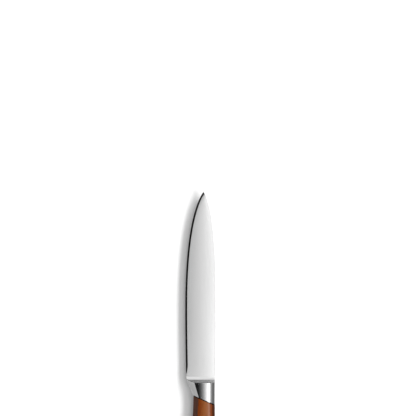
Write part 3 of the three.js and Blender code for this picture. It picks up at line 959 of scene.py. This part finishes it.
# near-black glue, also painted shade at the bottom of the seam
GLUE_AND_SHADE_TONES = ((0.3, (0.006, 0.004, 0.003)), (0.7, (0.014, 0.010, 0.008)))
RESIN_ROUGHNESS = 0.5
GRIT_ROUGHNESS = 0.2


def seam_glue_and_shade():
    """Dark glue in the seams between bolster and scales, near black as painted shade in the seam too."""
    material, nodes = new_material("seam_glue_and_shade")
    grit = nodes.noise(RESIN_GRIT, detail=4.0)
    nodes.surface({
        "Base Color": nodes.ramp(grit, GLUE_AND_SHADE_TONES),
        "Roughness": nodes.math("MULTIPLY_ADD", grit, GRIT_ROUGHNESS, RESIN_ROUGHNESS),
        "IOR": DULL,
    })
    return material


RIVET_RINGS = 900.0  # turning marks per metre
RIVET_TONES = ((0.0, (0.60, 0.60, 0.60)), (1.0, (0.70, 0.70, 0.70)))
RIVET_ROUGHNESS = 0.2
RING_ROUGHNESS = 0.08


def rivet_steel():
    """Turned steel with fine rings round each rivet's own axis."""
    material, nodes = new_material("rivet_steel")
    place = nodes.add("ShaderNodeTexCoord").outputs["Object"]
    waves = {"Vector": place, "Scale": RIVET_RINGS, "Distortion": 1.5, "Detail": 2.0}
    wave = nodes.add("ShaderNodeTexWave", waves, wave_type="RINGS", rings_direction="Z")
    rings = wave.outputs["Fac"]
    nodes.surface({
        "Base Color": nodes.ramp(rings, RIVET_TONES),
        "Metallic": 1.0,
        "Roughness": nodes.math("MULTIPLY_ADD", rings, RING_ROUGHNESS, RIVET_ROUGHNESS),
        "Normal": nodes.bump(rings, strength=0.1, depth=STEEL_BUMP),
    })
    return material


# Studio

FLOOR_SIZE = 8.0  # metres
FLOOR_TONE = (0.45, 0.45, 0.45, 1.0)
FLOOR_GLOW = 0.19  # lifts the table to paper white for what looks at it
KEY_ANGLE = math.radians(42.5)  # off the vertical, from the spine side
KEY_SOFTNESS = math.radians(19)
KEY_STRENGTH = 5.3  # the key lights the table, and the top light the knife
KEY_LEAN = math.radians(-7)  # the middle of the key lies towards the tip
KEY_REACH = math.radians(32)  # and the key is this long to each side, along the knife
KEY_LAMPS = 5
TOP_ANGLE = math.radians(28)
TOP_SOFTNESS = math.radians(30)
TOP_STRENGTH = 1.6

# Brightness of the surroundings by degrees from straight up, minus towards the edge side.
SIDE_LIGHT = (
    (-90, 0.55), (-52, 0.55), (-44, 0.12), (-38, 0.012), (-27, 0.012), (-23.5, 0.045),
    (-20.6, 0.08), (-17.4, 0.14), (-14.2, 0.235), (-10.9, 0.375), (-7.3, 0.57), (-5.5, 0.72),
    (-4.1, 0.79), (-2.4, 0.96), (-1.1, 1.09), (2, 1.3), (5, 2.3), (8, 3.8), (19, 3.8), (24, 2.2),
    (29, 1.1), (38, 0.66), (56, 0.33), (78, 0.15), (90, 0.20),
)
# The same towards the butt (minus) and the tip (plus), as a share.
LENGTH_LIGHT = (
    (-90, 0.25), (-35, 0.30), (-20, 0.8), (-10, 1.0), (24, 1.0), (36, 0.85), (48, 0.35), (60, 0.25),
    (90, 0.25),
)
# A second panel towards the tip, by the same angle.
FRONT_LIGHT = (
    (-90, 0.0), (7, 0.0), (14, 0.8), (22, 0.92), (46, 0.92), (55, 0.88), (62, 0.76), (71, 0.57),
    (80, 0.47), (90, 0.42),
)
# How much of that panel is seen, by the sideways angle.
FRONT_WIDTH = ((-90, 0.0), (-20, 0.0), (-12, 1.0), (30, 1.0), (50, 0.0), (90, 0.0))
# A dim fill towards both ends, by the lengthways angle.
END_LIGHT = ((-90, 0.32), (-35, 0.32), (-25, 0.0), (52, 0.0), (64, 0.12), (90, 0.12))


def light_ramp(nodes, angle, stops):
    """Brightness at an angle in radians, between the given stops."""
    share = nodes.math("MULTIPLY_ADD", angle, 1 / math.pi, 0.5)
    brightest = max(value for _, value in stops)
    places = [((degrees + 90) / 180, (value / brightest,) * 3) for degrees, value in stops]
    return nodes.math("MULTIPLY", nodes.ramp(share, places), brightest)


def build_world():
    """Surroundings that the steel mirrors: a panel above the knife, one towards the tip, and a fill."""
    world = bpy.data.worlds.new("studio")
    world.use_nodes = True
    nodes = Nodes(world.node_tree)
    direction = nodes.add("ShaderNodeTexCoord").outputs["Generated"]
    split = nodes.add("ShaderNodeSeparateXYZ", {"Vector": direction})
    up = nodes.math("MAXIMUM", split.outputs["Z"], 0.0)
    sideways = nodes.math("ARCTAN2", split.outputs["X"], up)
    lengthways = nodes.math("ARCSINE", split.outputs["Y"])
    across = light_ramp(nodes, sideways, SIDE_LIGHT)
    along = light_ramp(nodes, lengthways, LENGTH_LIGHT)
    front_across = light_ramp(nodes, sideways, FRONT_WIDTH)
    front_along = light_ramp(nodes, lengthways, FRONT_LIGHT)
    main = nodes.math("MULTIPLY", across, along)
    front = nodes.math("MULTIPLY", front_across, front_along)
    panels = nodes.math("MAXIMUM", main, front)
    level = nodes.math("MAXIMUM", panels, light_ramp(nodes, lengthways, END_LIGHT))
    background = nodes.add("ShaderNodeBackground", {"Color": level})
    nodes.add("ShaderNodeOutputWorld", {"Surface": background.outputs[0]})
    bpy.context.scene.world = world


def build_floor():
    """The white table, which keeps the knife's shadow."""
    material, nodes = new_material("white_table")
    path = nodes.add("ShaderNodeLightPath")
    seen = nodes.math("MAXIMUM", path.outputs["Is Camera Ray"], path.outputs["Is Glossy Ray"])
    seen = nodes.math("MAXIMUM", seen, path.outputs["Is Transmission Ray"])
    paint = nodes.add("ShaderNodeBsdfDiffuse", {"Color": FLOOR_TONE})
    glow = nodes.add("ShaderNodeEmission", {"Strength": nodes.math("MULTIPLY", seen, FLOOR_GLOW)})
    both = nodes.add("ShaderNodeAddShader", {0: paint.outputs[0], 1: glow.outputs[0]})
    nodes.add("ShaderNodeOutputMaterial", {"Surface": both.outputs[0]})
    half = FLOOR_SIZE / 2
    corners = [(-half, -half, 0), (half, -half, 0), (half, half, 0), (-half, half, 0)]
    mesh = bpy.data.meshes.new("table")
    mesh.from_pydata(corners, [], [(0, 1, 2, 3)])
    mesh.materials.append(material)
    floor = bpy.data.objects.new("table", mesh)
    bpy.context.scene.collection.objects.link(floor)
    return floor


def add_sun(name, strength, lean, angle, softness, receivers):
    """A lamp tilted along the knife and to the spine side that lights only the given objects."""
    lamp = bpy.data.lights.new(name, "SUN")
    lamp.energy = strength
    lamp.angle = softness
    sun = bpy.data.objects.new(name, lamp)
    sun.rotation_euler = (lean, angle, 0)
    sun.visible_glossy = False
    bpy.context.scene.collection.objects.link(sun)
    lit = bpy.data.collections.new(name + "_lights")
    for receiver in receivers:
        lit.objects.link(receiver)
    sun.light_linking.receiver_collection = lit


def add_key(floor):
    """A long soft light beside the knife, as a row of lamps."""
    leans = KEY_LEAN + np.linspace(-KEY_REACH, KEY_REACH, KEY_LAMPS)
    strength = KEY_STRENGTH / np.cos(leans).sum()
    for number, lean in enumerate(leans):
        add_sun(f"key_{number}", strength, lean, KEY_ANGLE, KEY_SOFTNESS, [floor])


def build_camera():
    """Straight down on the blade, with the photograph's frame."""
    lens = bpy.data.cameras.new("camera")
    lens.sensor_width = SENSOR
    lens.lens = SENSOR * CAMERA_HEIGHT / FRAME_SIDE
    lens.clip_end = CLIP_END
    camera = bpy.data.objects.new("camera", lens)
    camera.location = to_row((FRAME_CENTER_X, FRAME_CENTER_Y, CAMERA_HEIGHT))
    bpy.context.scene.collection.objects.link(camera)
    bpy.context.scene.camera = camera


# Assembly

ground_steel = steel("ground_steel", STEEL_TONE, roughness=0.13, grain=(9000, 60, 400), grain_depth=0.15)
edge_steel = steel("edge_steel", EDGE_TONE, roughness=0.09, grain=(60, 9000, 400), grain_depth=0.05)
bolster_steel = steel(
    "bolster_steel", STEEL_TONE, roughness=0.10, grain=(3000, 3000, 3000), grain_depth=0.05,
    satin_front=True,
)
handle_wood = oiled_wood("handle_wood", tint=1.0, gloss=POLISHED)
# the wood's front end in the seam, darkened to 0.15: darker end grain and painted shade in the seam
end_grain_and_seam_shade = oiled_wood("end_grain_and_seam_shade", tint=0.15, gloss=DULL)
wood = [handle_wood, end_grain_and_seam_shade]
rivets, rivet_holes = build_rivets(rivet_steel())
forging = build_forging([ground_steel, edge_steel, bolster_steel, seam_glue_and_shade()])
left = build_scale("left_wood", "left_scale", 1, wood, rivet_holes)
right = build_scale("right_wood", "right_scale", -1, wood, rivet_holes)
build_world()
add_key(build_floor())
add_sun("top", TOP_STRENGTH, 0.0, TOP_ANGLE, TOP_SOFTNESS, [forging, left, right, *rivets])
build_camera()
bpy.context.scene.view_settings.view_transform = "Standard"
